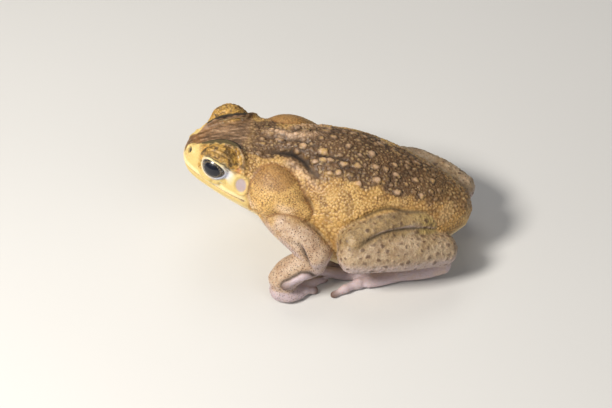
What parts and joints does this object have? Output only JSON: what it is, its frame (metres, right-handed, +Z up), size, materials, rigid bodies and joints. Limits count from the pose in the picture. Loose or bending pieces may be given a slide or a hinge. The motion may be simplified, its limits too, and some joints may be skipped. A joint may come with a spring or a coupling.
{
  "type": "sitting cane toad",
  "caption": "Life-size sitting cane toad with head raised, large shoulder glands, bony brow ridges, warty back and folded legs, resting on its belly, hands and feet.",
  "frame": {"origin": "centre of the outer box in X and Y, on the floor it sits on", "axes": "-Y is where the snout points, +X is the toad's left side, +Z is up"},
  "size_m": [0.095, 0.1284, 0.0601],
  "materials": {
    "skin_back": "dry warty skin, brown with pale wart tops, golden on the flanks",
    "skin_head": "dry skin drawn tight over bone, golden tan with a dark brown crown and yellow lips",
    "skin_gland": "smooth swollen skin with small dark pores",
    "skin_limb": "granular skin, tan with dark brown spots",
    "skin_digit": "fine granular skin, pale lavender with darker tips",
    "eardrum": "thin smooth grey skin",
    "eye": "wet clear surface over a dark iris"
  },
  "bodies": {
    "root": {"eye_left": "eye", "eye_right": "eye", "foot_left": "skin_digit", "foot_right": "skin_digit", "forearm_left": "skin_limb", "forearm_right": "skin_limb", "hand_left": "skin_digit", "hand_right": "skin_digit", "head": "skin_head", "parotoid_left": "skin_gland", "parotoid_right": "skin_gland", "shank_left": "skin_limb", "shank_right": "skin_limb", "tarsus_left": "skin_limb", "tarsus_right": "skin_limb", "thigh_left": "skin_limb", "thigh_right": "skin_limb", "torso": "skin_back", "tympanum_left": "eardrum", "tympanum_right": "eardrum", "upper_arm_left": "skin_limb", "upper_arm_right": "skin_limb"}
  },
  "joints": []
}
